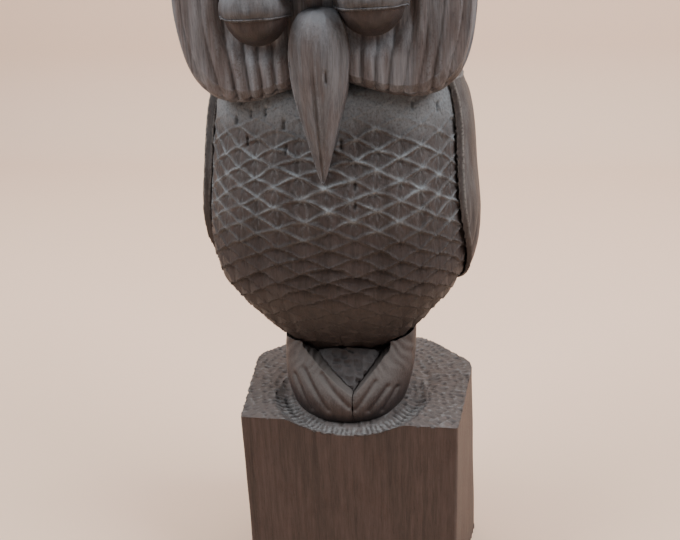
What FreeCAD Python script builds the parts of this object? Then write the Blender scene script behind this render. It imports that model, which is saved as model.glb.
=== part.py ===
"""A carved wooden owl standing on a block plinth.

The owl faces -Y, +Z is up and +X is the owl's own left. The origin is on the plinth's underside, below the
owl's axis. All sizes are millimetres. Heights of the bird are counted from the plinth's top, called ground.
"""

import FreeCAD, Part
import Sketcher

import math
import os

from FreeCAD import Placement, Rotation, Vector

doc = FreeCAD.newDocument("CarvedOwl")

# ---------------------------------------------------------------- driving dimensions

DIMENSIONS = {
    # the block that the owl stands on
    "plinth_height": 90.0,
    "plinth_front_width": 91.6,
    "plinth_back_width": 102.2,
    "plinth_depth": 79.5,
    "plinth_flare": 3.5,  # its left side leans out this far towards the back of its foot
    "plinth_offset": 4.6,  # the block's middle lies this far to the owl's left of its axis
    "plinth_corner_cut": 24.0,
    "plinth_corner_round": 12.0,
    "plinth_edge_round": 1.5,
    "dish_floor_radius": 30.5,  # the ground is dished round the feet
    "dish_rim_radius": 31.8,
    "dish_depth": 1.0,
    "dish_tilt": 10.5,  # degrees, deeper in front
    "dish_offset": 3.0,
    # torso
    "body_half_width": 54.0,
    "body_offset": -0.7,
    "body_front": 40.3,
    "body_back": 35.0,
    "body_top": 138.0,
    "body_squareness": 2.6,
    # wings, which lie on the torso's sides and back
    "wing_thickness": 4.4,
    "left_wing_front_edge": 22.0,
    "right_wing_front_edge": 12.0,
    "wing_gap": 7.0,
    # legs and feet, cut from one round column
    "feet_offset": 1.5,
    "feet_half_width": 28.0,
    "feet_squareness": 2.15,
    "feet_front": 34.5,
    "feet_back": 19.0,
    "notch_half_width": 18.7,
    "notch_lean": 4.5,  # how far the notch's foot lies to the owl's left of its middle
    "notch_bottom": 8.0,
    "notch_shoulder": 23.0,
    # head
    "head_half_width": 50.5,
    "head_squareness": 2.8,
    "head_front": 26.0,
    "head_back": 34.0,
    "head_tilt": 1.8,  # degrees, the owl's right side lower
    "disc_half_width": 54.8,
    "disc_bottom": 131.0,
    "disc_top": 219.0,
    "disc_front": 34.0,
    "disc_thickness": 14.0,
    "disc_edge_round": 5.0,
    # beak
    "beak_width": 22.0,
    "beak_top": 164.8,
    "beak_tip": 102.0,
    "beak_front": 46.0,
    "beak_root": 20.0,
    # eyes
    "eye_radius": 12.4,
    "eye_reach": 11.0,
    "eye_seat": 4.0,
    "lid_thickness": 1.5,
    "lid_drop": 2.4,
    "left_eye_across": 18.5,
    "left_eye_height": 165.6,
    "right_eye_across": 22.3,
    "right_eye_height": 163.9,
    # brows that run out into low ear tufts
    "brow_root_height": 168.0,
    "tuft_height": 226.0,
    "tuft_across": 36.0,
    # tail that props the bird from behind
    "tail_half_width": 17.0,
    "tail_back": 30.0,
    "tail_thickness": 15.0,
}

sheet = doc.addObject("Spreadsheet::Sheet", "dims")
for row, (alias, value) in enumerate(DIMENSIONS.items(), start=1):
    sheet.set(f"A{row}", alias)
    sheet.set(f"B{row}", str(value))
    sheet.setAlias(f"B{row}", alias)
doc.recompute()


def size(alias):
    """A driving dimension's value, read back from the sheet."""
    return float(sheet.get(alias))


GROUND = size("plinth_height")
HEAD_PIVOT = Vector(0, 0, GROUND + size("disc_bottom"))
HEAD_PLACEMENT = Placement(Vector(0, 0, 0), Rotation(Vector(0, 1, 0), -size("head_tilt")), HEAD_PIVOT)
SIDES = {"left": 1, "right": -1}

# ---------------------------------------------------------------- helpers


def origin_plane(body, role):
    """The body's own XY, XZ or YZ plane."""
    return next(feature for feature in body.Origin.OriginFeatures if feature.Role == role)


def sketch_in(body, role, name, height=None):
    """An empty sketch on one of the body's planes, lifted along the plane's normal by an expression."""
    sketch = body.newObject("Sketcher::SketchObject", name)
    sketch.AttachmentSupport = [(origin_plane(body, role), "")]
    sketch.MapMode = "FlatFace"
    if height is not None:
        sketch.setExpression("AttachmentOffset.Base.z", height)
    return sketch


def closed_polygon(sketch, corners):
    """Closes straight lines through corners. Each corner is two expressions, which hold its place."""
    count = len(corners)
    angles = [2 * math.pi * k / count for k in range(count)]
    turn = [Vector(math.cos(angle), math.sin(angle)) for angle in angles]
    for k in range(count):
        sketch.addGeometry(Part.LineSegment(turn[k], turn[(k + 1) % count]))
    for k in range(count):
        sketch.addConstraint(Sketcher.Constraint("Coincident", k, 2, (k + 1) % count, 1))
    for k, corner in enumerate(corners):
        for kind, expression in zip(("DistanceX", "DistanceY"), corner):
            at = turn[k].x if kind == "DistanceX" else turn[k].y
            number = sketch.addConstraint(Sketcher.Constraint(kind, -1, 1, k, 1, at))
            sketch.setExpression(f"Constraints[{number}]", expression)


def oval(height, half_width, front, back, squareness):
    """Four splines round a squared oval at one height, with its front and back at their own distances."""
    middle, reach = (back - front) / 2, (back + front) / 2
    edges = []
    for quarter in range(4):
        points = []
        for k in range(5):
            c, s = (f(math.pi / 2 * (quarter + k / 4)) for f in (math.cos, math.sin))
            x = half_width * math.copysign(abs(c) ** (2 / squareness), c)
            y = middle + reach * math.copysign(abs(s) ** (2 / squareness), s)
            points.append(Vector(x, y, height))
        points[0] = edges[-1].Vertexes[-1].Point if edges else Vector(half_width, middle, height)
        turns = (math.pi / 2 * quarter, math.pi / 2 * (quarter + 1))
        ends = [Vector(-round(math.sin(turn)), round(math.cos(turn)), 0) for turn in turns]
        curve = Part.BSplineCurve()
        curve.interpolate(points, InitialTangent=ends[0], FinalTangent=ends[1])
        edges.append(curve.toShape())
    return Part.Wire(edges)


def lofted(name, sections, squareness):
    """A Part::Feature lofted through ovals, each given as height above ground, half width, front and back."""
    wires = [oval(GROUND + height, *sizes, squareness) for height, *sizes in sections]
    feature = doc.addObject("Part::Feature", name)
    feature.Shape = Part.makeLoft(wires, True, False, False, 3)
    return feature


def box(name, **expressions):
    """A Part::Box whose Length, Width, Height and X, Y, Z are expressions or numbers."""
    made = doc.addObject("Part::Box", name)
    for key, value in expressions.items():
        target = key if key in ("Length", "Width", "Height") else f"Placement.Base.{key.lower()}"
        made.setExpression(target, str(value))
    return made


def cut(name, label, base, tools):
    """base with each of the tools taken away in turn, which is the sub-part called label."""
    for number, tool in enumerate(tools, start=1):
        made = doc.addObject("Part::Cut", name if number == len(tools) else f"{name}_{number}")
        made.Base = base
        made.Tool = tool
        base = made
    base.Label = label
    return base


def common(name, first, second):
    """What two shapes share."""
    made = doc.addObject("Part::Common", name)
    made.Base = first
    made.Tool = second
    return made


def in_head(feature):
    """Tilts a piece of the head about the neck, after its shape is made."""
    feature.Placement = HEAD_PLACEMENT.multiply(feature.Placement)
    return feature


# ---------------------------------------------------------------- plinth
# A sawn block with its back corners rounded off. Its top is dished round the feet, most of all in front.

plinth_body = doc.addObject("PartDesign::Body", "plinth_block")
front_y, back_y = "-dims.plinth_depth / 2", "dims.plinth_depth / 2"
side_y = "dims.plinth_depth / 2 - dims.plinth_corner_cut"
front_x = "dims.plinth_front_width / 2"
back_x = "dims.plinth_back_width / 2"
cut_x = "dims.plinth_back_width / 2 - dims.plinth_corner_cut"
plinth_outlines = []
for name, height, flare in (
    ("plinth_top", "dims.plinth_height", "0"),
    ("plinth_foot", "0", "dims.plinth_flare"),
):
    outline = sketch_in(plinth_body, "XY_Plane", name, height)
    closed_polygon(
        outline,
        [
            (f"dims.plinth_offset + {front_x}", front_y),
            (f"dims.plinth_offset + {back_x} + {flare}", side_y),
            (f"dims.plinth_offset + {cut_x} + {flare}", back_y),
            (f"dims.plinth_offset - ({cut_x})", back_y),
            (f"dims.plinth_offset - {back_x}", side_y),
            (f"dims.plinth_offset - {front_x}", front_y),
        ],
    )
    plinth_outlines.append(outline)
block = plinth_body.newObject("PartDesign::AdditiveLoft", "plinth_sides")
block.Profile = plinth_outlines[0]
block.Sections = plinth_outlines[1:]
block.Ruled = True
doc.recompute()


def upright_edges(shape, wanted):
    """The names of a shape's upright edges, where wanted(y) picks them by where they stand."""
    names = []
    for k, edge in enumerate(shape.Edges, start=1):
        low, high = (vertex.Point for vertex in (edge.Vertexes[0], edge.Vertexes[-1]))
        if abs(low.z - high.z) > size("plinth_height") * 0.9 and wanted(low.y):
            names.append(f"Edge{k}")
    return names


rounded = block
for name, radius, wanted in (
    ("plinth_back_corners", "dims.plinth_corner_round", lambda y: y > 0),
    ("plinth_front_corners", "dims.plinth_edge_round", lambda y: y < -size("plinth_depth") / 4),
):
    fillet = plinth_body.newObject("PartDesign::Fillet", name)
    fillet.Base = (rounded, upright_edges(rounded.Shape, wanted))
    fillet.setExpression("Radius", radius)
    plinth_body.Tip = rounded = fillet
    doc.recompute()

dish = doc.addObject("Part::Cone", "dish")
dish.setExpression("Radius1", "dims.dish_floor_radius")
dish.setExpression("Radius2", "10 * dims.dish_rim_radius - 9 * dims.dish_floor_radius")
dish.setExpression("Height", "10 * dims.dish_depth")
dish.Placement.Rotation = Rotation(Vector(1, 0, 0), size("dish_tilt"))
dish.setExpression("Placement.Base.x", "dims.dish_offset")
dish.setExpression("Placement.Base.y", "(dims.feet_back - dims.feet_front) / 2")
dish.setExpression("Placement.Base.z", "dims.plinth_height - dims.dish_depth")
plinth = cut("plinth_cut", "plinth", plinth_body, [dish])
slab = box("ground_slab", Length=160, Width=160, Height=20, X=-80, Y=-80, Z="dims.plinth_height - 20")
ground = cut("ground_cut", "dished_ground", slab, [dish])  # the plinth's top, for shaping what stands on it

# ---------------------------------------------------------------- torso
# Shares of the fullest half width, front and back at each height above ground, from the legs to the neck, and
# how much of its full thickness a wing has there.

TORSO = (
    (14, 0.42, 0.30, 0.46, 0.0),
    (24, 0.52, 0.43, 0.57, 0.0),
    (32, 0.635, 0.60, 0.66, 0.1),
    (43, 0.785, 0.80, 0.78, 0.3),
    (57, 0.945, 0.955, 0.90, 0.6),
    (72, 0.997, 1.0, 0.97, 0.9),
    (90, 0.975, 0.995, 1.0, 1.0),
    (108, 0.94, 0.91, 0.98, 1.0),
    (124, 0.90, 0.81, 0.92, 1.0),
)


def torso_sections(grow=0.0):
    """The torso's sections, or the same grown sideways and backwards for what lies on it."""
    wide, front, back = size("body_half_width"), size("body_front"), size("body_back")
    rows = [(h, wide * w + grow * g, front * f, back * b + grow * g) for h, w, f, b, g in TORSO]
    rows.append((size("body_top"), wide * 0.83 + grow, front * 0.68, back * 0.83 + grow))
    return rows


body = lofted("torso", torso_sections(), size("body_squareness"))
body.Label = "body"
body.setExpression("Placement.Base.x", "dims.body_offset")

# ---------------------------------------------------------------- wings
# Each wing is a raised panel, cut to its outline as seen from the side, with a gap between the two behind.

WING_OUTLINE = (  # y, counted from the front edge, and height above ground, from the shoulder down to the tip
    (8, 136),
    (4, 112),
    (0, 88),
    (3, 70),
    (10, 57),
    (24, 48),
    (41, 41),
    (60, 36),
    (60, 136),
)
wing_shell = lofted("wing_shell", torso_sections(size("wing_thickness")), size("body_squareness"))
wing_shell.setExpression("Placement.Base.x", "dims.body_offset")
wings = {}
for side, sign in SIDES.items():
    front_edge = -size(f"{side}_wing_front_edge")
    inner = size("wing_gap") if sign > 0 else -80
    places = [Vector(inner, front_edge + y, GROUND + h) for y, h in WING_OUTLINE]
    curve = Part.BSplineCurve()
    curve.interpolate(places[:8])
    edges = [curve.toShape(), Part.makeLine(places[7], places[8]), Part.makeLine(places[8], places[0])]
    prism = doc.addObject("Part::Feature", f"{side}_wing_outline")
    prism.Shape = Part.Face(Part.Wire(edges)).extrude(Vector(80 - size("wing_gap"), 0, 0))
    blank = common(f"{side}_wing_blank", wing_shell, prism)
    wings[side] = cut(f"{side}_wing_cut", f"{side}_wing", blank, [body])

# ---------------------------------------------------------------- feet and the ground between them
# One round column stands in the scoop. A notch opens it at the front, and each half is a leg with its foot.

FEET = (  # height above ground, then shares of half width, front and back
    (-10, 0.70, 0.74, 0.70),
    (-3, 0.87, 0.96, 0.86),
    (6, 0.98, 0.97, 0.98),
    (18, 1.03, 0.74, 1.0),
    (30, 1.03, 0.50, 1.0),
)
feet_sizes = size("feet_half_width"), size("feet_front"), size("feet_back")
feet_sections = [(h, *(s * r for s, r in zip(feet_sizes, shares))) for h, *shares in FEET]
column = lofted("feet_column", feet_sections, size("feet_squareness"))
column.setExpression("Placement.Base.x", "dims.feet_offset")

notch_body = doc.addObject("PartDesign::Body", "notch_body")
notch_outline = sketch_in(notch_body, "XZ_Plane", "notch_outline")
notch_shoulder, notch_top = "dims.plinth_height + dims.notch_shoulder", "dims.plinth_height + 34"
closed_polygon(
    notch_outline,
    [
        ("dims.feet_offset + dims.notch_lean", "dims.plinth_height + dims.notch_bottom"),
        ("dims.feet_offset + dims.notch_half_width", notch_shoulder),
        ("dims.feet_offset + dims.notch_half_width", notch_top),
        ("dims.feet_offset - dims.notch_half_width", notch_top),
        ("dims.feet_offset - dims.notch_half_width", notch_shoulder),
    ],
)
notch = notch_body.newObject("PartDesign::Pad", "notch")
notch.Profile = notch_outline
notch.Length = 50

feet = {}
for side, sign in SIDES.items():
    half = box(
        f"{side}_foot_half",
        Length=60,
        Width=120,
        Height=60,
        X="dims.feet_offset + dims.notch_lean" if sign > 0 else "dims.feet_offset + dims.notch_lean - 60",
        Y=-60,
        Z="dims.plinth_height - 20",
    )
    blank = common(f"{side}_foot_blank", column, half)
    feet[side] = cut(f"{side}_foot_cut", f"{side}_foot", blank, [notch_body, body, ground])

heap = doc.addObject("Part::Cone", "ground_heap")
heap.setExpression("Radius1", "dims.feet_front * 0.86")
heap.setExpression("Radius2", "dims.feet_front * 0.3")
heap.Height = 22
heap.setExpression("Placement.Base.x", "dims.feet_offset")
heap.setExpression("Placement.Base.z", "dims.plinth_height + dims.notch_bottom - 1")
mound = cut("mound_cut", "perch_mound", common("mound_blank", heap, notch_body), [body])

# ---------------------------------------------------------------- tail

tail_body = doc.addObject("PartDesign::Body", "tail_body")
tail_outline = sketch_in(tail_body, "XZ_Plane", "tail_outline", "-dims.tail_back")
tail_foot, tail_root = "dims.plinth_height - 10", "dims.plinth_height + 56"
closed_polygon(
    tail_outline,
    [
        ("dims.tail_half_width", tail_foot),
        ("dims.tail_half_width * 0.75", tail_root),
        ("-dims.tail_half_width * 0.75", tail_root),
        ("-dims.tail_half_width", tail_foot),
    ],
)
tail_slab = tail_body.newObject("PartDesign::Pad", "tail_slab")
tail_slab.Profile = tail_outline
tail_slab.setExpression("Length", "dims.tail_thickness")
doc.recompute()

tail = cut("tail_cut", "tail", tail_body, [wing_shell, column, ground])

# ---------------------------------------------------------------- head
# The mass of the head sits down over the neck and shoulders.

HEAD = (  # height above ground, then shares of half width, front and back
    (127, 0.80, 0.72, 0.78),
    (146, 0.955, 0.94, 0.95),
    (170, 1.0, 1.0, 1.0),
    (196, 0.91, 0.98, 0.93),
    (214, 0.63, 0.76, 0.64),
    (221, 0.26, 0.36, 0.28),
)
head_sizes = size("head_half_width"), size("head_front"), size("head_back")
head_sections = [(h, *(s * r for s, r in zip(head_sizes, shares))) for h, *shares in HEAD]
head_mass = in_head(lofted("head_mass", head_sections, size("head_squareness")))
head = cut("head_cut", "head", head_mass, [body, *wings.values()])

# ---------------------------------------------------------------- facial disc
# A thick heart-shaped plate on the front of the head, with its edge rounded over.

DISC_RIM = (  # across as a share of the half width, and up as a share from bottom to top
    (
        (0.0, 0.085),
        (0.19, 0.058),
        (0.40, 0.017),
        (0.60, 0.0),
        (0.76, 0.022),
        (0.89, 0.095),
        (0.965, 0.21),
        (1.0, 0.38),
    ),
    ((1.0, 0.38), (0.985, 0.56), (0.91, 0.75), (0.76, 0.90), (0.54, 0.99), (0.30, 0.985), (0.0, 0.93)),
)


def disc_wire(y, inset):
    """The disc's outline at one depth, drawn in from its full size by inset."""
    centre = (size("disc_top") + size("disc_bottom")) / 2 + GROUND
    half_height = (size("disc_top") - size("disc_bottom")) / 2
    half_width = size("disc_half_width")
    runs = [[(x, up) for x, up in run] for run in DISC_RIM]
    runs += [[(-x, up) for x, up in reversed(run)] for run in reversed(DISC_RIM)]
    edges = []
    for run in runs:
        points = [
            Vector(x * (half_width - inset), y, centre + (2 * up - 1) * (half_height - inset)) for x, up in run
        ]
        curve = Part.BSplineCurve()
        curve.interpolate(points)
        edges.append(curve.toShape())
    return Part.Wire(edges)


disc_front, edge_round = size("disc_front"), size("disc_edge_round")
disc_blank = doc.addObject("Part::Feature", "disc_blank")
disc_blank.Shape = Part.makeLoft(
    [
        disc_wire(-disc_front, edge_round),
        disc_wire(-disc_front + edge_round * 0.3, edge_round * 0.3),
        disc_wire(-disc_front + edge_round, 0),
        disc_wire(-disc_front + size("disc_thickness"), 0),
    ],
    True,
    True,
)
in_head(disc_blank)
disc = cut("disc_cut", "facial_disc", disc_blank, [head_mass, body, *wings.values()])

# ---------------------------------------------------------------- beak
# Faceted: two flanks meet on a ridge that lies a little to the owl's right of the middle.

beak_body = doc.addObject("PartDesign::Body", "beak_body")
beak_sections = []
for name, drop, width, ridge_share in (
    ("beak_crown", 0.0, 0.36, 0.55),
    ("beak_bulb", 0.06, 0.76, 0.86),
    ("beak_cheek", 0.27, 1.0, 1.0),
    ("beak_middle", 0.50, 0.84, 0.96),
    ("beak_lower", 0.76, 0.47, 0.86),
    ("beak_point", 1.0, 0.07, 0.74),
):
    height = f"dims.plinth_height + dims.beak_top - (dims.beak_top - dims.beak_tip) * {drop}"
    section = sketch_in(beak_body, "XY_Plane", name, height)
    half = f"dims.beak_width / 2 * {width}"
    lean = f"-2.2 * {drop}"
    ridge_y = f"-dims.beak_root - (dims.beak_front - dims.beak_root) * {ridge_share}"
    flank_y = f"{ridge_y} + dims.beak_width * 0.34 * {width}"
    closed_polygon(
        section,
        [
            (f"{lean} + {half}", "-dims.beak_root"),
            (f"{lean} + {half}", flank_y),
            (f"{lean} + ({half}) * 0.45", f"{ridge_y} + dims.beak_width * 0.06 * {width}"),
            (f"{lean} - ({half}) * 0.2", ridge_y),
            (f"{lean} - {half}", flank_y),
            (f"{lean} - {half}", "-dims.beak_root"),
        ],
    )
    beak_sections.append(section)
beak_loft = beak_body.newObject("PartDesign::AdditiveLoft", "beak_loft")
beak_loft.Profile = beak_sections[0]
beak_loft.Sections = beak_sections[1:]
in_head(beak_body)
doc.recompute()
beak = cut("beak_cut", "beak", beak_body, [disc, head_mass, body])

# ---------------------------------------------------------------- eyes and lids
# Each eye is a turned dome let into the disc. A lid covers it down to just below its middle.


def dome(name, radius, reach):
    """A dome turned about the Y axis, with a cylindrical seat behind it. radius and reach are expressions."""
    turned = doc.addObject("PartDesign::Body", f"{name}_body")
    profile = sketch_in(turned, "XY_Plane", f"{name}_profile")
    profile.addGeometry(Part.LineSegment(Vector(0, 4), Vector(5, 4)))
    profile.addGeometry(Part.LineSegment(Vector(5, 4), Vector(5, 0)))
    profile.addGeometry(Part.LineSegment(Vector(5, 0), Vector(3.4, -5)))
    profile.addGeometry(Part.LineSegment(Vector(3.4, -5), Vector(0, -6)))
    profile.addGeometry(Part.LineSegment(Vector(0, -6), Vector(0, 4)))
    for k in range(5):
        profile.addConstraint(Sketcher.Constraint("Coincident", k, 2, (k + 1) % 5, 1))
    places = (
        ("0", "dims.eye_seat"),
        (radius, "dims.eye_seat"),
        (radius, "0"),
        (f"({radius}) * 0.66", f"-({reach}) * 0.8"),
        ("0", f"-({reach})"),
    )
    for k, corner in enumerate(places):
        for kind, expression in zip(("DistanceX", "DistanceY"), corner):
            number = profile.addConstraint(Sketcher.Constraint(kind, -1, 1, k, 1, 1.0))
            profile.setExpression(f"Constraints[{number}]", expression)
    spin = turned.newObject("PartDesign::Revolution", f"{name}_turning")
    spin.Profile = profile
    spin.ReferenceAxis = (profile, ["V_Axis"])
    spin.Angle = 360
    turned.Tip = spin
    doc.recompute()
    outer_rim = [
        f"Edge{k}"
        for k, edge in enumerate(spin.Shape.Edges, start=1)
        if isinstance(edge.Curve, Part.Circle) and edge.Vertexes[0].Y < -1
    ]
    softened = turned.newObject("PartDesign::Fillet", f"{name}_softening")
    softened.Base = (spin, outer_rim)
    softened.setExpression("Radius", f"({reach}) * 0.6")
    turned.Tip = softened
    return turned


eye_parts = {}
hoods = {}
for side, sign in SIDES.items():
    seat = Vector(
        sign * size(f"{side}_eye_across"),
        -size("disc_front") + 0.5,
        GROUND + size(f"{side}_eye_height"),
    )
    ball = dome(f"{side}_eye", "dims.eye_radius", "dims.eye_reach")
    ball.Placement = Placement(seat, Rotation())
    in_head(ball)
    hood = dome(f"{side}_hood", "dims.eye_radius + dims.lid_thickness", "dims.eye_reach + dims.lid_thickness")
    hood.Placement = Placement(seat, Rotation())
    in_head(hood)
    below = box(f"{side}_below_lid", Length=40, Width=40, Height=30)
    below.Placement = Placement(seat + Vector(-20, -30, -30 - size("lid_drop")), Rotation())
    in_head(below)
    eye = cut(f"{side}_eye_cut", f"{side}_eye", ball, [disc, head_mass])
    lid = cut(f"{side}_lid_cut", f"{side}_eyelid", hood, [below, ball, disc, head_mass, beak])
    eye_parts[side] = (eye, lid)
    hoods[side] = hood

# ---------------------------------------------------------------- brows and ear tufts
# A brow rises from above the beak over each eye and stands up at the crown as a short tuft.

BROW = (  # share of the way up, share of the way out, depth, half width, half thickness
    (0.0, 0.16, 36.5, 5.0, 4.2),
    (0.25, 0.47, 36.0, 8.5, 6.0),
    (0.6, 0.82, 31.0, 10.5, 8.5),
    (0.86, 0.97, 25.0, 9.0, 9.0),
    (1.0, 1.0, 20.0, 4.0, 5.0),
)
brows = {}
for side, sign in SIDES.items():
    wires = []
    for up, out, depth, half_wide, half_thick in BROW:
        height = GROUND + size("brow_root_height") + (size("tuft_height") - size("brow_root_height")) * up
        wire = oval(height, half_wide, depth + half_thick, half_thick - depth, 2)
        wire.translate(Vector(sign * size("tuft_across") * out, 0, 0))
        wires.append(wire)
    brow_blank = doc.addObject("Part::Feature", f"{side}_brow_blank")
    brow_blank.Shape = Part.makeLoft(wires, True, False, False, 3)
    in_head(brow_blank)
    beside_brow = [head_mass, disc, beak_body, hoods[side]]
    brows[side] = cut(f"{side}_brow_cut", f"{side}_brow", brow_blank, beside_brow)

# ---------------------------------------------------------------- check and write

doc.recompute()
failed = [o.Name for o in doc.Objects if "Invalid" in o.State or "Error" in o.State]
if failed:
    raise SystemExit(f"these objects failed to recompute: {failed}")

nodes = [plinth, body, *wings.values(), *feet.values(), mound, tail, head, disc, beak]
nodes += [piece for pair in eye_parts.values() for piece in pair] + list(brows.values())
os.makedirs("parts", exist_ok=True)
for node in nodes:
    shape = node.Shape
    if shape.isNull() or not shape.isValid():
        raise SystemExit(f"{node.Label} has no valid shape")
    print(f"{node.Label}: {len(shape.Solids)} solid, {shape.Volume / 1000:.1f} cm3")
    shape.exportStep(f"parts/{node.Label}.step")
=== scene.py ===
"""A carved wooden owl on its plinth: finished surfaces round the plain solids of the frame."""

import math

import bpy
import numpy as np
from mathutils import Matrix, Vector, noise


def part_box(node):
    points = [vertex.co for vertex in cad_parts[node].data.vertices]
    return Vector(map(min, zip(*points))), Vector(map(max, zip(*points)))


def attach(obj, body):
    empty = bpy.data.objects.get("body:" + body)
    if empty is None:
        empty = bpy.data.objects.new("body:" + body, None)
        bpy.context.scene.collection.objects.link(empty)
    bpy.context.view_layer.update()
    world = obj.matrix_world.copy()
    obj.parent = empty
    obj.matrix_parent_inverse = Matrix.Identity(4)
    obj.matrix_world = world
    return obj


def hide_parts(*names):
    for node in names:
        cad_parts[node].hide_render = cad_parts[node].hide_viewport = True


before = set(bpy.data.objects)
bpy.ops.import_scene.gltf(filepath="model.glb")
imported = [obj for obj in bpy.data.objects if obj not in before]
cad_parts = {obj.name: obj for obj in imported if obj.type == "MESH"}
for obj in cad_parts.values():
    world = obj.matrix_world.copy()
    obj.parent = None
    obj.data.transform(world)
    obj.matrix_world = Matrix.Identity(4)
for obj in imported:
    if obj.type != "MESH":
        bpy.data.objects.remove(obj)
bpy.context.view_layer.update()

MM = 0.001
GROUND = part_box("plinth")[1].z / MM  # the plinth's top, where the bird's own heights start

# ---------------------------------------------------------------- plinth
# A block sawn from dark, close-grained wood and carved in one with the bird. Its sides are plain,
# with the grain upright. Its top is dished round the feet and pecked all over with a small gouge,
# and holds most of the dust.


def fine_copy(name, node, cell):
    """A new piece with a CAD node's shape, in an even mesh with corners cell millimetres apart."""
    piece = bpy.data.objects.new(name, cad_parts[node].data.copy())
    bpy.context.scene.collection.objects.link(piece)
    remesh = piece.modifiers.new("even_mesh", "REMESH")
    remesh.mode = "VOXEL"
    remesh.voxel_size = cell * MM
    remesh.use_smooth_shade = True
    settle(piece)
    return piece


def settle(piece):
    """Turns a piece's modifiers into its mesh."""
    evaluated = piece.evaluated_get(bpy.context.evaluated_depsgraph_get())
    mesh = bpy.data.meshes.new_from_object(evaluated)
    piece.modifiers.clear()
    old, piece.data = piece.data, mesh
    bpy.data.meshes.remove(old)
    mesh.materials.clear()


def places(mesh):
    """Where a mesh's corners are, in millimetres."""
    values = np.empty(len(mesh.vertices) * 3, dtype=np.float32)
    mesh.vertices.foreach_get("co", values)
    return values.reshape(-1, 3).astype(float) / MM


def facings(mesh):
    """Which way each of a mesh's corners faces."""
    values = np.empty(len(mesh.vertices) * 3, dtype=np.float32)
    mesh.vertices.foreach_get("normal", values)
    return values.reshape(-1, 3).astype(float)


def move_to(mesh, where):
    """Puts a mesh's corners at new places."""
    mesh.vertices.foreach_set("co", (where * MM).astype(np.float32).ravel())
    mesh.update()


def evened(mesh, values, rounds):
    """values, one row for each corner, averaged with their neighbours' a number of times."""
    ends = np.empty(len(mesh.edges) * 2, dtype=np.int32)
    mesh.edges.foreach_get("vertices", ends)
    first, second = ends.reshape(-1, 2).T
    count = len(mesh.vertices)
    neighbours = np.bincount(first, minlength=count) + np.bincount(second, minlength=count)
    neighbours = np.maximum(neighbours, 1)
    values = values.reshape(count, -1).copy()
    for _ in range(rounds):
        for column in range(values.shape[1]):
            line = values[:, column]
            total = np.bincount(first, line[second], count)
            total = total + np.bincount(second, line[first], count)
            values[:, column] = (line + total / neighbours) / 2
    return values


def note(mesh, name, values):
    """Keeps one number for each corner, which a material can read by name."""
    attribute = mesh.attributes.new(name, "FLOAT", "POINT")
    attribute.data.foreach_set("value", values.astype(np.float32))


RELIEF_ROUNDS = (("relief", 10), ("broad_relief", 60))  # how far round each kind of crest is judged
WEATHERED_FROM, WEATHERED_BY = 58, 104  # heights above ground between which the wood turns grey


def carve(piece, depth, most_faces=96000, rubbed=None):
    """Cuts into a piece. depth(where, facing) says how many millimetres of wood go at each corner,
    and rubbed(where, facing) how pale it is with dust and handling, beyond what its shape does."""
    mesh = piece.data
    where, facing = places(mesh), facings(mesh)
    move_to(mesh, where - facing * depth(where, facing)[:, None])
    if len(mesh.polygons) > most_faces:
        thin = piece.modifiers.new("thin", "DECIMATE")
        thin.ratio = most_faces / len(mesh.polygons)
        settle(piece)
        mesh = piece.data
    where, facing = places(mesh), facings(mesh)
    for name, rounds in RELIEF_ROUNDS:
        note(mesh, name, np.sum((where - evened(mesh, where, rounds)) * facing, axis=1))
    note(mesh, "rubbed", rubbed(where, facing) if rubbed else np.zeros(len(where)))
    wavering_height = where[:, 2] - GROUND + 8 * cloud(where, 30.0, seed=2.9)
    note(mesh, "weathering", rise(wavering_height, WEATHERED_FROM, WEATHERED_BY))
    mesh.shade_smooth()


def install(piece, node, material):
    """Puts a finished piece in its node's place."""
    piece.data.materials.append(material)
    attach(piece, "root")
    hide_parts(node)


def cloud(where, across, along=None, seed=0.0):
    """Smooth noise from about -1 to 1, in lumps so many millimetres across and along the grain."""
    lumps = where / np.array([across, across, along or across]) + seed
    return np.array([noise.noise(Vector(lump)) for lump in lumps])


def rise(value, low, high):
    """0 below low, 1 above high, and a smooth step between."""
    part = np.clip((value - low) / (high - low), 0, 1)
    return part * part * (3 - 2 * part)


def chance(*numbers):
    """A fixed number from 0 to 1 for each set of whole numbers."""
    mixed = sum(number * factor for number, factor in zip(numbers, (12.9898, 78.233, 37.719)))
    return np.modf(np.abs(np.sin(mixed) * 43758.5453))[0]


FEET_MIDDLE = (3.0, -8.0)
TOES_REACH = 24  # how far from the feet's middle the ground comes clear of the toes
BRIM_RADIUS, BRIM_HALF_WIDTH = 33.5, 2.4  # of the hollow round the feet
STROKES_ROUND = 84  # how many gouge strokes there would be all the way round the feet


def pecks(where, middle, row=3.5, length=2.3):
    """How deep the small gouge has bitten, from 0 between bites to about 1. The bites are length
    long and lie in rough rows round a middle, row apart."""
    dx, dy = where[:, 0] - middle[0], where[:, 1] - middle[1]
    ring = np.hypot(dx, dy) / row + 0.8 * cloud(where, 13.0, seed=3.1)
    ring = ring + 0.35 * cloud(where, 4.0, seed=6.6)
    which = np.floor(ring)
    row_start = chance(which, which * 0 + 4) * 7
    round_ring = np.arctan2(dy, dx) * (which + 0.5) * row / length + row_start
    bite = np.floor(round_ring)
    luck, more_luck = chance(which, bite), chance(bite + 5, which + 9)
    across = ring - which - 0.5 + 0.3 * (more_luck - 0.5)
    along = round_ring - bite - 0.5 + 0.4 * (luck - 0.5)
    hollow = 1 - (across / 0.56) ** 2 - (along / (0.40 + 0.20 * more_luck)) ** 2
    lean = 0.6 + 0.9 * across  # one end of a bite is the deeper, where the gouge was lifted
    return np.clip(hollow, 0, 1) ** 0.7 * lean * (0.25 + 1.1 * luck)


def from_feet(where):
    """How far each place is from the feet's middle, seen from above."""
    return np.hypot(where[:, 0] - FEET_MIDDLE[0], where[:, 1] - FEET_MIDDLE[1])


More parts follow.
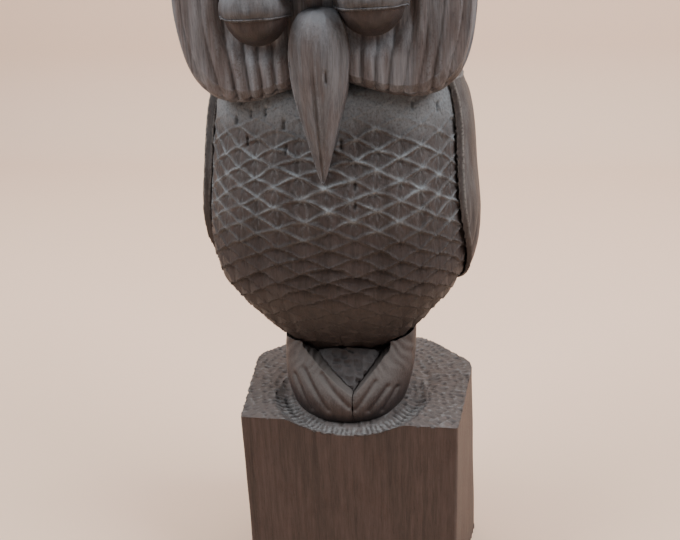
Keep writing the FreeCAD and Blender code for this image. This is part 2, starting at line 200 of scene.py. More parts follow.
def front_band(where):
    """1 on the ground just in front of the toes and 0 elsewhere."""
    radius, forward = from_feet(where), -(where[:, 1] - FEET_MIDDLE[1])
    return rise(radius, TOES_REACH, 28) * rise(-radius, -40, -34) * rise(forward, 4, 16)


def strokes_out(where):
    """Narrow gouge strokes that run out from under the toes: -1 in a stroke and 1 between two."""
    round_feet = np.arctan2(where[:, 1] - FEET_MIDDLE[1], where[:, 0] - FEET_MIDDLE[0])
    return np.sin(STROKES_ROUND * round_feet + 2.5 * cloud(where, 5.0, seed=5.5))


def plinth_depth(where, facing):
    """Bites, a rubbed brim and strokes on top, wear and saw marks on the sides, flat below."""
    up = rise(facing[:, 2], 0.35, 0.8)
    radius = from_feet(where)
    dressing = up * (0.15 + 0.75 * pecks(where, FEET_MIDDLE)) * rise(radius, 20, TOES_REACH)
    dressing = dressing + up * 0.6 * np.exp(-(((radius - BRIM_RADIUS) / BRIM_HALF_WIDTH) ** 2))
    dressing = dressing + up * 0.3 * (1 + strokes_out(where)) * front_band(where)
    worn = 0.35 * (1 + cloud(where, 16.0, 26.0, seed=7.7))
    saw = 0.10 * (1 + cloud(where, 2.6, 60.0, seed=1.3))
    return dressing + (1 - up) * (worn + saw) * rise(facing[:, 2], -0.6, -0.2)


def plinth_rubbed(where, facing):
    """The ground in front of the toes is handled most and has the palest flecks."""
    flecks = rise(cloud(where, 1.4, seed=9.3) - 0.6 * strokes_out(where), -0.3, 0.5)
    between_bites = 1 - rise(pecks(where, FEET_MIDDLE), 0.0, 0.3)
    between_bites = between_bites * rise(cloud(where, 2.0, seed=4.9), -0.35, 0.35)
    handled = np.maximum(front_band(where) * (0.2 + 0.7 * flecks), 0.7 * between_bites)
    return handled * rise(facing[:, 2], 0.2, 0.6)


def new_group(name, inputs, outputs):
    """A shader node group with named inputs and outputs, and the sockets they have inside it."""
    tree = bpy.data.node_groups.new(name, "ShaderNodeTree")
    for in_out, sockets in (("INPUT", inputs), ("OUTPUT", outputs)):
        for label, kind in sockets:
            tree.interface.new_socket(label, in_out=in_out, socket_type=f"NodeSocket{kind}")
    given, result = tree.nodes.new("NodeGroupInput"), tree.nodes.new("NodeGroupOutput")
    return tree, given.outputs, result.inputs


def node(tree, kind, *feeds, out=0, **settings):
    """Adds a shader node and gives one of its outputs. Each feed goes to the input of its turn, or,
    as (name, feed), to a named one."""
    made = tree.nodes.new(f"ShaderNode{kind}")
    for key, value in settings.items():
        setattr(made, key, value)
    for turn, feed in enumerate(feeds):
        key, feed = feed if isinstance(feed, tuple) else (turn, feed)
        if isinstance(feed, bpy.types.NodeSocket):
            tree.links.new(feed, made.inputs[key])
        else:
            made.inputs[key].default_value = feed
    return made.outputs[out]


def maths(tree, operation, *feeds, clamp=False):
    return node(tree, "Math", *feeds, operation=operation, use_clamp=clamp)


MIX_FIRST_COLOUR, MIX_SECOND_COLOUR, MIX_COLOUR_RESULT = 6, 7, 2  # sockets whose names are shared


def blend(tree, share, low, high):
    """Mixes two colours: low where share is 0 and high where it is 1."""
    colours = (MIX_FIRST_COLOUR, low), (MIX_SECOND_COLOUR, high)
    return node(tree, "Mix", ("Factor", share), *colours, out=MIX_COLOUR_RESULT, data_type="RGBA")


def span(tree, value, low, high, start=0.0, end=1.0):
    """A smooth step from start, where value is low, to end, where it is high."""
    return node(tree, "MapRange", value, low, high, start, end, interpolation_type="SMOOTHSTEP")


def stretched(tree, place, across, along, detail=3.0, roughness=0.55):
    """Noise in streaks so many millimetres across and so many along the upright grain."""
    per_streak = (1 / MM / across, 1 / MM / across, 1 / MM / along)
    scaled = node(tree, "Mapping", place, ("Scale", per_streak))
    fineness = ("Detail", detail), ("Roughness", roughness)
    return node(tree, "TexNoise", ("Vector", scaled), ("Scale", 1.0), *fineness)


def wood_group():
    """The figurine's one wood: upright grain and pores, stain, painted shade in hollows and on what
    faces down, wear, and dust with painted top light.
    """
    # the Dust colour and Dustiness also paint top light: what faces up is made paler and cooler
    inputs = [(label, "Color") for label in ("Dark", "Light", "Grey dark", "Grey light", "Dust")]
    inputs += [("Dustiness", "Float"), ("Wear", "Float")]
    outputs = [("Color", "Color"), ("Roughness", "Float"), ("Normal", "Vector")]
    tree, given, result = new_group("dark_carved_wood", inputs, outputs)

    place = node(tree, "TexCoord", out="Object")
    fibre = stretched(tree, place, 0.55, 9.0, 4.0, 0.65)
    streak = stretched(tree, place, 2.4, 55.0, 3.0)
    board = stretched(tree, place, 13.0, 160.0, 2.0)
    blotch = stretched(tree, place, 9.0, 13.0, 4.0, 0.6)
    speck = stretched(tree, place, 0.8, 0.9, 2.0, 0.7)
    pore = span(tree, stretched(tree, place, 0.34, 4.5, 1.0), 0.63, 0.72)
    relief = node(tree, "Attribute", attribute_name="relief", out="Fac")
    broad = node(tree, "Attribute", attribute_name="broad_relief", out="Fac")
    weathering = node(tree, "Attribute", attribute_name="weathering", out="Fac")
    handled = node(tree, "Attribute", attribute_name="rubbed", out="Fac")
    crest = span(tree, relief, 0.02, 0.20)
    hollow = span(tree, maths(tree, "MULTIPLY", relief, -1.0), 0.02, 0.28)
    pit = span(tree, maths(tree, "MULTIPLY", broad, -1.0), 0.2, 1.6)
    up = node(tree, "SeparateXYZ", node(tree, "NewGeometry", out="Normal"), out="Z")

    # grain, brown or weathered grey, with stains over it
    figure = maths(tree, "MULTIPLY", fibre, 0.45)
    figure = maths(tree, "ADD", figure, maths(tree, "MULTIPLY", streak, 0.45))
    figure = maths(tree, "ADD", figure, maths(tree, "MULTIPLY", board, 0.25))
    figure = span(tree, figure, 0.36, 0.80)
    brown = blend(tree, figure, given["Dark"], given["Light"])
    grey = blend(tree, figure, given["Grey dark"], given["Grey light"])
    bare = span(tree, stretched(tree, place, 4.6, 42.0, 3.0), 0.40, 0.58, 0.35, 1.0)
    colour = blend(tree, maths(tree, "MULTIPLY", weathering, bare), brown, grey)
    stained = node(tree, "HueSaturation", ("Saturation", 1.25), ("Value", 0.80), ("Color", colour))
    colour = blend(tree, span(tree, blotch, 0.45, 0.75, 0.0, 0.8), colour, stained)

    # painted shade in hollows and pits and on what faces down, and the dark of the pores
    shade = node(tree, "HueSaturation", ("Saturation", 0.9), ("Value", 0.40), ("Color", colour))
    down = maths(tree, "MULTIPLY", up, -1.0)
    painted_shade_and_pores = maths(tree, "MULTIPLY", hollow, 0.6)
    painted_shade_and_pores = maths(tree, "MAXIMUM", painted_shade_and_pores, maths(tree, "MULTIPLY", pit, 0.5))
    painted_shade_and_pores = maths(tree, "MAXIMUM", painted_shade_and_pores, span(tree, down, 0.0, 0.7, 0.0, 0.8))
    painted_shade_and_pores = maths(tree, "MAXIMUM", painted_shade_and_pores, maths(tree, "MULTIPLY", pore, 0.4))
    colour = blend(tree, painted_shade_and_pores, colour, shade)

    # dust that lies on what faces up, with painted top light on the same faces, and crests rubbed
    # pale
    uneven = maths(tree, "MULTIPLY", maths(tree, "SUBTRACT", speck, 0.5), 0.7)
    patchy = maths(tree, "MULTIPLY", maths(tree, "SUBTRACT", blotch, 0.5), 0.5)
    bed = maths(tree, "ADD", maths(tree, "ADD", up, uneven), patchy)
    dust_and_top_light = maths(tree, "MULTIPLY", span(tree, bed, 0.0, 0.8), given["Dustiness"])
    out_of_hollows = maths(tree, "SUBTRACT", 1.0, maths(tree, "MULTIPLY", hollow, 0.5))
    dust_and_top_light = maths(tree, "MULTIPLY", dust_and_top_light, out_of_hollows)
    rubbed = maths(tree, "MULTIPLY", crest, span(tree, speck, 0.3, 0.6))
    rubbed = maths(tree, "MULTIPLY", rubbed, span(tree, up, -0.5, 0.2))
    rubbed = maths(tree, "MULTIPLY", rubbed, maths(tree, "MULTIPLY_ADD", weathering, 0.75, 0.25))
    handled = maths(tree, "MULTIPLY", handled, span(tree, speck, 0.25, 0.6, 0.45, 1.0))
    rubbed = maths(tree, "MAXIMUM", handled, maths(tree, "MULTIPLY", rubbed, given["Wear"]))
    dust_wear_and_top_light = maths(tree, "MAXIMUM", dust_and_top_light, rubbed, clamp=True)
    colour = blend(tree, dust_wear_and_top_light, colour, given["Dust"])
    rough = maths(tree, "MULTIPLY_ADD", dust_wear_and_top_light, 0.3, maths(tree, "MULTIPLY_ADD", figure, 0.12, 0.5))

    # the feel of the fibres and pores
    height = maths(tree, "MULTIPLY", fibre, 0.8)
    height = maths(tree, "SUBTRACT", height, maths(tree, "MULTIPLY", pore, 0.55))
    height = maths(tree, "ADD", height, maths(tree, "MULTIPLY", speck, 0.35))
    bump = node(tree, "Bump", ("Strength", 0.55), ("Distance", 0.35 * MM), ("Height", height))
    for label, feed in (("Color", colour), ("Roughness", rough), ("Normal", bump)):
        tree.links.new(feed, result[label])
    return tree


WOOD = wood_group()
# dark and light grain of the greys that light and dust have turned the upper wood to
PALE_GREY = (0.072, 0.072, 0.080), (0.228, 0.232, 0.256)
MID_GREY = (0.045, 0.045, 0.050), (0.142, 0.145, 0.160)
BROWN_GREY = (0.033, 0.032, 0.034), (0.106, 0.103, 0.108)


def wood(name, dark, light, grey, dust_wear_and_top_light, dustiness, wear):
    """One finish of the figurine's wood, from its dark and light grain, the grey pair they weather
    to, its dust's colour, tinted cool as painted top light, how much dust lies on it and how far
    its crests are rubbed."""
    material = bpy.data.materials.new(name)
    material.use_nodes = True
    tree = material.node_tree
    shader = tree.nodes["Principled BSDF"]
    group = tree.nodes.new("ShaderNodeGroup")
    group.node_tree = WOOD
    colours = {
        "Dark": dark,
        "Light": light,
        "Grey dark": grey[0],
        "Grey light": grey[1],
        "Dust": dust_wear_and_top_light,
    }
    for label, value in colours.items():
        group.inputs[label].default_value = (*value, 1.0)
    group.inputs["Dustiness"].default_value = dustiness
    group.inputs["Wear"].default_value = wear
    tree.links.new(group.outputs["Color"], shader.inputs["Base Color"])
    tree.links.new(group.outputs["Roughness"], shader.inputs["Roughness"])
    tree.links.new(group.outputs["Normal"], shader.inputs["Normal"])
    shader.inputs["Specular IOR Level"].default_value = 0.35
    return material


sawn = wood(
    "sawn_plinth_wood",
    dark=(0.021, 0.0135, 0.0122),
    light=(0.080, 0.0530, 0.0475),
    grey=MID_GREY,
    # dust tinted cool, partly as painted top light
    dust_wear_and_top_light=(0.20, 0.208, 0.215),
    dustiness=0.27,
    wear=0.7,
)
plinth = fine_copy("pecked_plinth", "plinth", 0.6)
carve(plinth, plinth_depth, most_faces=98000, rubbed=plinth_rubbed)
install(plinth, "plinth", sawn)

# ---------------------------------------------------------------- body
# The torso, whose breast and belly are cut all over in scales: lozenges hollowed with a gouge
# between raised edges, deeper low on the belly. The wood is the same, in darker colours, with
# painted shade in the cuts.
# Short deep stop cuts show on the upper breast.

SCALE_GREY = (0.026, 0.0205, 0.0200), (0.078, 0.063, 0.061)
scaled_wood = wood(
    "scaled_wood",
    dark=(0.021, 0.016, 0.0158),
    light=(0.052, 0.040, 0.039),
    grey=SCALE_GREY,
    # dust tinted cool, partly as painted top light
    dust_wear_and_top_light=(0.235, 0.27, 0.30),
    dustiness=0.08,
    wear=0.25,
)

SCALE_HALF_WIDTH, SCALE_HALF_HEIGHT = 10.2, 3.8
SPOKES = 9  # small cuts round each meeting point of four scales


def girth(where, front):
    """How far round from the front's middle each place is, where front is the front's own depth."""
    return np.sign(where[:, 0]) * (np.abs(where[:, 0]) + np.maximum(where[:, 1] - front, 0))


def front_depth(where, step=2.0):
    """How far forward the shape reaches at each place's height."""
    level = np.floor(where[:, 2] / step).astype(int)
    level -= level.min()
    foremost = np.full(level.max() + 1, 0.0)
    np.minimum.at(foremost, level, where[:, 1])
    levels_up = where[:, 2] / step - np.floor(where[:, 2].min() / step)
    return np.interp(levels_up, np.arange(len(foremost)) + 0.5, foremost)


def scales(u, v, half_width, half_height, bow=0.5):
    """(how far each place is from its scale's upper edges, how far from the lower ones, the scale's
    chance), where u is the way round and v the way up, and bow rounds the edges."""
    v = v - bow * np.abs(np.sin(np.pi * u / half_width))
    p, q = (u / half_width + v / half_height) / 2, (u / half_width - v / half_height) / 2
    column, line = np.floor(p), np.floor(q)
    up_left, up_right = p - column, q - line
    above = np.minimum(up_left, 1 - up_right)
    below = np.minimum(1 - up_left, up_right)
    return above, below, chance(column, line)


def scale_net(where):
    """(how far round, how far up) the net of scales each place is, with the carver's unevenness."""
    height = where[:, 2] - GROUND
    round_front = girth(where, front_depth(where))
    sway, climb = cloud(where, 24.0, seed=0.3), cloud(where, 24.0, seed=5.9)
    return (
        round_front + 2.8 * sway + 1.1 * cloud(where, 8.0, seed=8.4),
        height + 1.8 * climb + 0.8 * cloud(where, 7.0, seed=1.7),
    )


def knots(u, v):
    """(way sideways, way up) from the nearest meeting point of four scales, and its chance."""
    column = np.round(u / SCALE_HALF_WIDTH)
    line = np.round((v / SCALE_HALF_HEIGHT - column) / 2) * 2 + column
    return u - column * SCALE_HALF_WIDTH, v - line * SCALE_HALF_HEIGHT, chance(column, line + 3)


STOP_CUTS = (  # x, and height above ground
    (-36, 123),
    (-33.5, 131),
    (-31.5, 116),
    (-29.5, 126),
    (-23.5, 127),
    (-16, 123),
    (-15.5, 114),
    (5, 116),
    (10.5, 101),
    (10.5, 94),
    (31, 129),
    (40, 127),
)


def body_depth(where, facing):
    """Scales with spokes where they meet, stop cuts, and wood taken back under the neck."""
    height = where[:, 2] - GROUND
    u, v = scale_net(where)
    above, below, luck = scales(u, v, SCALE_HALF_WIDTH, SCALE_HALF_HEIGHT)
    low = rise(-height, -86, -58)  # the belly's scales stand out more
    flat = 1 - 0.8 * rise(height, 114, 130)
    lip = (0.75 + 1.5 * low) * (0.6 + 0.8 * luck)
    ridge = np.exp(-((np.minimum(above, below) / 0.07) ** 2))
    depth = (lip * above + (0.6 - 0.4 * low) * (1 - ridge)) * flat
    depth = depth + 0.5 * low * np.exp(-below / 0.15)
    depth = depth - 0.15 * np.sin(np.pi * above) + 0.12 * (1 + cloud(where, 1.8, 3.5, seed=3.8))
    across, up, star_luck = knots(u, v)
    spokes = 0.16 * np.sin(SPOKES * np.arctan2(up * 1.6, across) + 6 * star_luck)
    depth = depth + spokes * np.exp(-np.hypot(across / 4.2, up / 2.6) ** 2)
    for x, cut_height in STOP_CUTS:
        beside, along = (where[:, 0] - x) / 0.45, (height - cut_height) / 1.8
        depth = depth + 1.3 * np.exp(-(beside**2) - along**4)
    shown = rise(-where[:, 1], -24, -8)  # the wings cover the rest
    return depth * shown + 0.2 + 2.0 * rise(height, 133, 140) * shown


def body_rubbed_and_shaded(where, facing):
    """The scales' edges and meeting points, pale with dust and wear, fading out where the belly
    turns under, partly for want of dust and partly as painted shade.
    """
    u, v = scale_net(where)
    above, below, _ = scales(u, v, SCALE_HALF_WIDTH, SCALE_HALF_HEIGHT)
    across, up, star_luck = knots(u, v)
    worn_off = 0.12 + 0.78 * rise(cloud(where, 6.0, seed=4.1), -0.3, 0.45)
    line = np.maximum(np.exp(-((above / 0.075) ** 2)), np.exp(-((below / 0.045) ** 2))) * worn_off
    line = line * (0.5 + 0.6 * np.exp(-(np.hypot(across / 6.0, up / 3.4) ** 2)))
    star = np.exp(-(np.hypot(across / 2.6, up / 1.2) ** 2)) * (0.25 + 0.75 * star_luck)
    strokes = np.clip(np.sin(SPOKES * np.arctan2(up * 1.5, across) + 7 * star_luck), 0, 1) ** 2
    strokes = strokes * np.exp(-(np.hypot(across / 5.0, up / 2.9) ** 2))
    marks = np.maximum(np.maximum(line, star), 0.55 * strokes)
    height = where[:, 2] - GROUND
    low_edge = height + 6 * cloud(where, 18.0, seed=7.2)
    # low on the belly the pale marks fade: partly no dust lies there, partly painted shade
    marks = marks * (0.06 + 0.94 * rise(low_edge, 74, 92)) * (1 - 0.35 * rise(height, 112, 124))
    return np.maximum(marks, 0.55 * rise(low_edge, 112, 128)) * rise(-where[:, 1], -10, 8)


body = fine_copy("scaled_body", "body", 0.55)
carve(body, body_depth, most_faces=99000, rubbed=body_rubbed_and_shaded)
install(body, "body", scaled_wood)

# ---------------------------------------------------------------- wings
# A raised panel of the same wood on each side, folded round to the back. The shoulder is left
# smooth with shallow feather scallops behind, the long quills below are fluted, and short cuts
# slant across the tip.

carved_wood = wood(
    "carved_wood",
    dark=(0.026, 0.0185, 0.0178),
    light=(0.064, 0.048, 0.046),
    grey=BROWN_GREY,
    dust_wear_and_top_light=(0.18, 0.172, 0.167),
    dustiness=0.4,
    wear=1.0,
)
TORSO_RADIUS = 52  # of the round that the wings are folded on
WING_QUILL_WIDTH, TIP_CUT_SPACING = 6.6, 4.2


def wing_depth(where, facing):
    """Coverts behind the shoulder, long quills under them, and slanting cuts at the tip."""
    height = where[:, 2] - GROUND
    outer = rise(facing[:, 0] * np.sign(where[:, 0]) + np.maximum(facing[:, 1], 0), 0.2, 0.7)
    round_back = TORSO_RADIUS * np.arctan2(np.abs(where[:, 0]), -(where[:, 1] + 2))
    wander = cloud(where, 24.0, seed=2.2)
    quill = (round_back + 0.42 * np.maximum(84 - height, 0) + 1.5 * wander) / WING_QUILL_WIDTH
    flute = 1 - np.abs(np.sin(np.pi * quill)) ** 0.55
    long_quills = rise(-height, -93, -70) * (0.35 + 1.0 * flute)
    above, below, _ = scales(round_back + 2 * wander, height + 1.5 * wander, 8.0, 7.0, 1.4)
    coverts = 0.95 * above + 0.35 * np.exp(-below / 0.12)
    coverts = coverts * rise(height, 84, 92) * rise(where[:, 1], 4, 12)
    slant = (where[:, 1] + height) / TIP_CUT_SPACING + 0.4 * wander
    tip = 0.6 * (1 - np.abs(np.sin(np.pi * slant)) ** 0.6) * rise(-height, -58, -50)
    # rounded off under the neck
    shoulder = 3.0 * rise(height, 124, 139) ** 2 * rise(where[:, 1], -6, 12)
    grain = 0.18 * (1 + cloud(where, 2.2, 45.0))
    return outer * (long_quills + coverts + tip + grain + shoulder) + 0.2 * (1 + wander)


for side in ("left", "right"):
    wing = fine_copy(f"{side}_folded_wing", f"{side}_wing", 0.6)
    carve(wing, wing_depth)
    install(wing, f"{side}_wing", carved_wood)

# ---------------------------------------------------------------- legs, feet, mound and tail
# The feathered legs run down into rounded feet whose toes slant to the middle. The ground between
# them is heaped up to the belly and pecked like the plinth. The tail is a fluted slab that props
# the bird from behind. All are left from the same block.

TAIL_QUILL_WIDTH = 5.6
TOE_CUTS = (  # ends of the cuts between the toes: x and height above ground
    ((-20.0, 11.5), (-12.5, -0.5)),
    ((-15.8, 14.9), (-4.4, 1.6)),
    ((-7.8, 15.0), (4.6, 3.4)),
    ((15.1, 12.4), (7.4, 2.2)),
    ((20.3, 9.6), (12.9, 0.9)),
    ((24.0, 7.5), (18.5, -0.5)),
)


def near_line(across, height, start, end):
    """How far places are from a straight cut, seen from in front."""
    run = np.subtract(end, start)
    part = ((across - start[0]) * run[0] + (height - start[1]) * run[1]) / run.dot(run)
    part = np.clip(part, 0, 1)
    return np.hypot(across - start[0] - part * run[0], height - start[1] - part * run[1])


def foot_depth(where, facing):
    """Cuts between the toes, and shallow barbs of down on the leg above them."""
    height = where[:, 2] - GROUND
    depth = 0.15 * (1 + cloud(where, 5.0, 14.0, seed=4.4))
    for start, end in TOE_CUTS:
        depth = depth + 0.85 * np.exp(-((near_line(where[:, 0], height, start, end) / 1.1) ** 2))
    down = where[:, 0] * np.sign(where[:, 0] - 6) * 1.1 + height * 0.9
    feather = 0.16 * (1 + np.sin(down * 1.6 + 4 * cloud(where, 9.0))) * rise(height, 12, 20)
    return (depth + feather) * rise(-where[:, 1], 2, 8)


def mound_depth(where, facing):
    return 1.1 * pecks(where, (6.0, 12.0), row=2.1, length=4.5)


def tail_depth(where, facing):
    quill = where[:, 0] / TAIL_QUILL_WIDTH + 0.2 * cloud(where, 20.0)
    flute = 1 - np.abs(np.sin(np.pi * quill)) ** 0.6
    return rise(facing[:, 1], 0.2, 0.7) * (0.9 * flute) + 0.15 * (1 + cloud(where, 2.4, 40.0))


for name, node_name, cell, depth, finish in (
    ("left_toes", "left_foot", 0.4, foot_depth, carved_wood),
    ("right_toes", "right_foot", 0.4, foot_depth, carved_wood),
    ("pecked_mound", "perch_mound", 0.4, mound_depth, scaled_wood),
    ("fluted_tail", "tail", 0.5, tail_depth, carved_wood),
):
    piece = fine_copy(name, node_name, cell)
    carve(piece, depth)
    install(piece, node_name, finish)

# ---------------------------------------------------------------- head and face
# The head is rounded and reeded down its back. The face is a thick two-lobed plate, reeded with a
# narrow gouge in flutes that follow its outline, and sunk round the eyes. Light and dust have
# turned its wood grey.

EYES = [sum(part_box(f"{side}_eye"), Vector()) / 2 / MM for side in ("left", "right")]
FACE_LOW, FACE_HIGH = (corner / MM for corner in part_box("facial_disc"))
FACE_REED_WIDTH, HEAD_REED_WIDTH = 6.2, 7.2
HEAD_RADIUS = 50
SOCKET_RADIUS, SOCKET_HALF_WIDTH, SOCKET_DEPTH = 12.5, 4.2, 2.6  # of the sunk ring round each eye


def reeds(turns, sharpness):
    """Rounded reeds with a narrow valley at each whole turn: 0 on a reed and 1 in a valley."""
    return 1 - np.abs(np.sin(np.pi * turns)) ** sharpness


def face_depth(where, facing):
    """Flutes of uneven strength, drawn in where the face narrows, and a ring round each eye."""
    up = (where[:, 2] - FACE_LOW.z) / (FACE_HIGH.z - FACE_LOW.z)
    narrowing = 1 - 0.10 * rise(-up, -0.38, 0.0) - 0.10 * rise(up, 0.6, 1.0)
    turns = where[:, 0] / narrowing / FACE_REED_WIDTH
    turns = turns + 0.5 * cloud(where, 15.0, 110.0, seed=8.8) + 0.08 * cloud(where, 5.0, 25.0)
    which = np.floor(turns + 0.5)  # the valley each place is nearest
    strength = 0.7 + 1.2 * chance(which, which * 0 + 1)
    strength = strength * (0.8 + 0.5 * cloud(where, 9.0, 28.0, seed=5.1))
    depth = np.maximum(strength, 0.2) * reeds(turns, 0.65)
    depth = depth + 0.22 * (1 + cloud(where, 3.2, 22.0, seed=2.4))
    depth = depth + 0.12 * (1 + cloud(where, 1.3, 12.0))
    for eye in EYES:
        radius = np.hypot(where[:, 0] - eye.x, where[:, 2] - eye.z)
        ring = np.exp(-(((radius - SOCKET_RADIUS) / SOCKET_HALF_WIDTH) ** 2))
        depth = depth + SOCKET_DEPTH * ring
    return 1.15 * depth * rise(-facing[:, 1], -0.1, 0.4) + 0.2


def head_depth(where, facing):
    """Reeds that fade out towards the crown, and a rounded edge under the neck behind."""
    turns = HEAD_RADIUS * np.arctan2(where[:, 0], where[:, 1] + 4) / HEAD_REED_WIDTH
    turns = turns + 0.3 * cloud(where, 30.0, seed=6.1)
    fade = rise(-where[:, 2], -FACE_HIGH.z - 2, -FACE_HIGH.z + 25)
    neck = 2.2 * rise(-(where[:, 2] - GROUND), -150, -134) ** 2 * rise(where[:, 1], -6, 12)
    return 0.8 * reeds(turns, 0.6) * fade + 0.15 * (1 + cloud(where, 2.2, 35.0)) + 0.2 + neck


weathered = wood(
    "weathered_wood",
    dark=(0.049, 0.036, 0.034),
    light=(0.138, 0.106, 0.101),
    grey=PALE_GREY,
    # dust tinted cool, partly as painted top light
    dust_wear_and_top_light=(0.20, 0.215, 0.24),
    dustiness=0.5,
    wear=0.9,
)
for name, node_name, cell, depth in (
    ("reeded_face", "facial_disc", 0.5, face_depth),
    ("reeded_head", "head", 0.7, head_depth),
):
    piece = fine_copy(name, node_name, cell)
    carve(piece, depth)
    install(piece, node_name, weathered)

# ---------------------------------------------------------------- brows
# Each brow is a roll left from the same block, running from the beak over the eye to a blunt ear
# tuft. Its reeds follow its slant.

BROW_REED_WIDTH = 4.4


def brow_depth(where, facing):
    """Narrow reeds that lean outwards as they rise."""
    lean = where[:, 0] * np.sign(where[:, 0]) - (where[:, 2] - GROUND - 168) * 0.55
    turns = lean / BROW_REED_WIDTH + 0.3 * cloud(where, 14.0)
    return 0.9 * reeds(turns, 0.5) + 0.12 * (1 + cloud(where, 1.8, 16.0))


for side in ("left", "right"):
    brow = fine_copy(f"{side}_reeded_brow", f"{side}_brow", 0.45)
    carve(brow, brow_depth)
    install(brow, f"{side}_brow", weathered)

# ---------------------------------------------------------------- beak and eyes
# The faceted beak, with a small knot slit beside its ridge, the domed eyes, and the lids over
# them, which are thinned to a low ridge. All are pared smooth in the same wood and rubbed by hands.
# The lids are coloured paler and greyer, as dust with painted top light, and the eyes darker, as
# bare wood with painted shade under the lids.

pared = wood(
    "pared_wood",
    dark=(0.052, 0.040, 0.039),
    light=(0.122, 0.105, 0.106),
    grey=MID_GREY,
    # dust tinted cool, partly as painted top light
    dust_wear_and_top_light=(0.21, 0.225, 0.25),
    dustiness=0.55,
    wear=0.7,
)
KNOT = (2.5, 142.0)  # x and height above ground


def beak_depth(where, facing):
    """The knot slit, and the flank on the owl's right pared a little lower along a fine line."""
    height = where[:, 2] - GROUND
    slit = np.exp(-(((where[:, 0] - KNOT[0]) / 0.5) ** 2) - ((height - KNOT[1]) / 2.3) ** 4)
    ridge = -1.4 + 0.022 * (150 - height)
    beside = (ridge - where[:, 0]) / 0.7
    pared_flank = 0.55 * rise(beside, -0.6, 0.6) * rise(-height, -156, -146)
    scored = 0.35 * np.exp(-((beside - 0.6) ** 2)) * rise(-height, -152, -130)
    skin = 0.20 * (1 + cloud(where, 7.0, 20.0, seed=1.9)) + 0.10 * (1 + cloud(where, 1.1, 18.0))
    return (0.9 * slit + pared_flank + scored) * rise(-facing[:, 1], 0.1, 0.4) + skin


def eye_depth(where, facing):
    return 0.16 * (1 + cloud(where, 3.2, seed=9.3))


def lid_depth(where, facing):
    """A lid is thinned towards its lower edge, so that it stands only a little over the eye."""
    above_edge = where[:, 2] - where[:, 2].min()
    thinned = rise(-above_edge, -4.5, -0.1) * rise(-facing[:, 1], -0.15, 0.15)
    return eye_depth(where, facing) + thinned


# paler, greyer colours for the lid: dust, with painted top light
lit_dusty_lid_wood = wood(
    "lit_dusty_lid_wood",
    dark=(0.046, 0.042, 0.045),
    light=(0.11, 0.105, 0.11),
    grey=MID_GREY,
    dust_wear_and_top_light=(0.18, 0.19, 0.21),
    dustiness=0.72,
    wear=0.0,
)
# darker colours for the eye: bare wood, with painted shade under the lid
SHADED_EYE_GREY = (0.024, 0.020, 0.021), (0.070, 0.058, 0.060)
shaded_bare_eye_wood = wood(
    "shaded_bare_eye_wood",
    dark=(0.028, 0.020, 0.019),
    light=(0.074, 0.052, 0.050),
    grey=SHADED_EYE_GREY,
    dust_wear_and_top_light=(0.12, 0.12, 0.13),
    dustiness=0.15,
    wear=0.3,
)
piece = fine_copy("pared_beak", "beak", 0.4)
carve(piece, beak_depth)
install(piece, "beak", pared)
for side in ("left", "right"):
    for part, depth, finish in (("eye", eye_depth, shaded_bare_eye_wood), ("eyelid", lid_depth, lit_dusty_lid_wood)):
        piece = fine_copy(f"{side}_{part}_boss", f"{side}_{part}", 0.35)
        carve(piece, depth)
        install(piece, f"{side}_{part}", finish)

# ---------------------------------------------------------------- studio
# A pale paper floor that sweeps up behind, two large soft lights above to either side, one more
# over the backdrop, and the camera.

SWEEP_WIDTH, SWEEP_FRONT, SWEEP_BACK, SWEEP_ROUND, SWEEP_TOP = 3.0, -1.2, 0.75, 0.12, 1.6
SWEEP_STEPS = 16
PAPER = (0.80, 0.60, 0.47, 1.0)
ROOM_LIGHT = 0.16


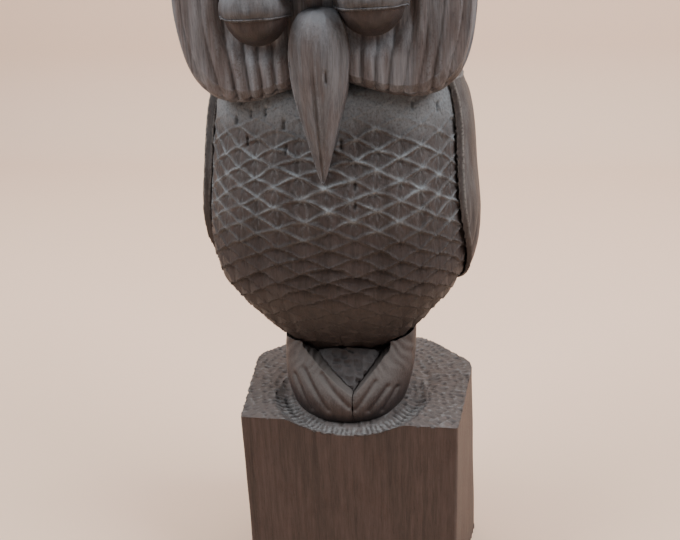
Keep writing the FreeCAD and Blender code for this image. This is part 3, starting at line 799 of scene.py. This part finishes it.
def studio_sweep():
    """The floor and backdrop in one sheet, as a strip along a bent line."""
    line = [(SWEEP_FRONT, 0.0)]
    for step in range(SWEEP_STEPS + 1):
        angle = math.pi / 2 * step / SWEEP_STEPS
        back = SWEEP_BACK - SWEEP_ROUND * (1 - math.sin(angle))
        line.append((back, SWEEP_ROUND * (1 - math.cos(angle))))
    line.append((SWEEP_BACK, SWEEP_TOP))
    corners = [(x, y, z) for y, z in line for x in (-SWEEP_WIDTH / 2, SWEEP_WIDTH / 2)]
    faces = [(2 * k, 2 * k + 1, 2 * k + 3, 2 * k + 2) for k in range(len(line) - 1)]
    mesh = bpy.data.meshes.new("studio_sweep")
    mesh.from_pydata(corners, [], faces)
    mesh.shade_smooth()
    sweep = bpy.data.objects.new("studio_sweep", mesh)
    bpy.context.scene.collection.objects.link(sweep)
    paper = bpy.data.materials.new("pale_paper")
    paper.use_nodes = True
    shader = paper.node_tree.nodes["Principled BSDF"]
    shader.inputs["Base Color"].default_value = PAPER
    shader.inputs["Roughness"].default_value = 0.9
    mesh.materials.append(paper)


studio_sweep()


SOFTBOX_COLOUR = (1.0, 0.99, 0.98)


def softbox(name, place, aim, width, height, power):
    """A rectangular soft light that faces aim."""
    light = bpy.data.lights.new(name, "AREA")
    light.shape, light.size, light.size_y = "RECTANGLE", width, height
    light.energy, light.color = power, SOFTBOX_COLOUR
    lamp = bpy.data.objects.new(name, light)
    lamp.location = place
    lamp.rotation_euler = (Vector(aim) - Vector(place)).to_track_quat("-Z", "Y").to_euler()
    bpy.context.scene.collection.objects.link(lamp)


BREAST, BACKDROP = (0, 0, 0.25), (0, 0.5, 0.2)
softbox("left_softbox", (-0.75, -0.30, 0.95), BREAST, 0.7, 0.5, 13.0)
softbox("right_softbox", (0.78, -0.16, 0.90), BREAST, 0.7, 0.5, 14.0)
softbox("back_light", (0.0, 0.25, 1.1), BACKDROP, 1.2, 0.5, 8.0)

world = bpy.data.worlds.new("soft_room")
world.use_nodes = True
background = world.node_tree.nodes["Background"]
background.inputs["Color"].default_value = (1.0, 1.0, 1.0, 1.0)
background.inputs["Strength"].default_value = ROOM_LIGHT
bpy.context.scene.world = world

CAMERA_PLACE = Vector((54.5, -341.0, GROUND + 198.0)) * MM
CAMERA_YAW, CAMERA_PITCH, CAMERA_ROLL = (math.radians(angle) for angle in (9.5, 23.0, -2.2))
camera = bpy.data.objects.new("camera", bpy.data.cameras.new("camera"))
camera.data.lens, camera.data.sensor_width = 46.06, 36.0
camera.data.clip_start = 0.01
turn = Matrix.Rotation(CAMERA_YAW, 4, "Z") @ Matrix.Rotation(math.pi / 2 - CAMERA_PITCH, 4, "X")
camera.matrix_world = Matrix.Translation(CAMERA_PLACE) @ turn @ Matrix.Rotation(CAMERA_ROLL, 4, "Z")
bpy.context.scene.collection.objects.link(camera)
bpy.context.scene.camera = camera
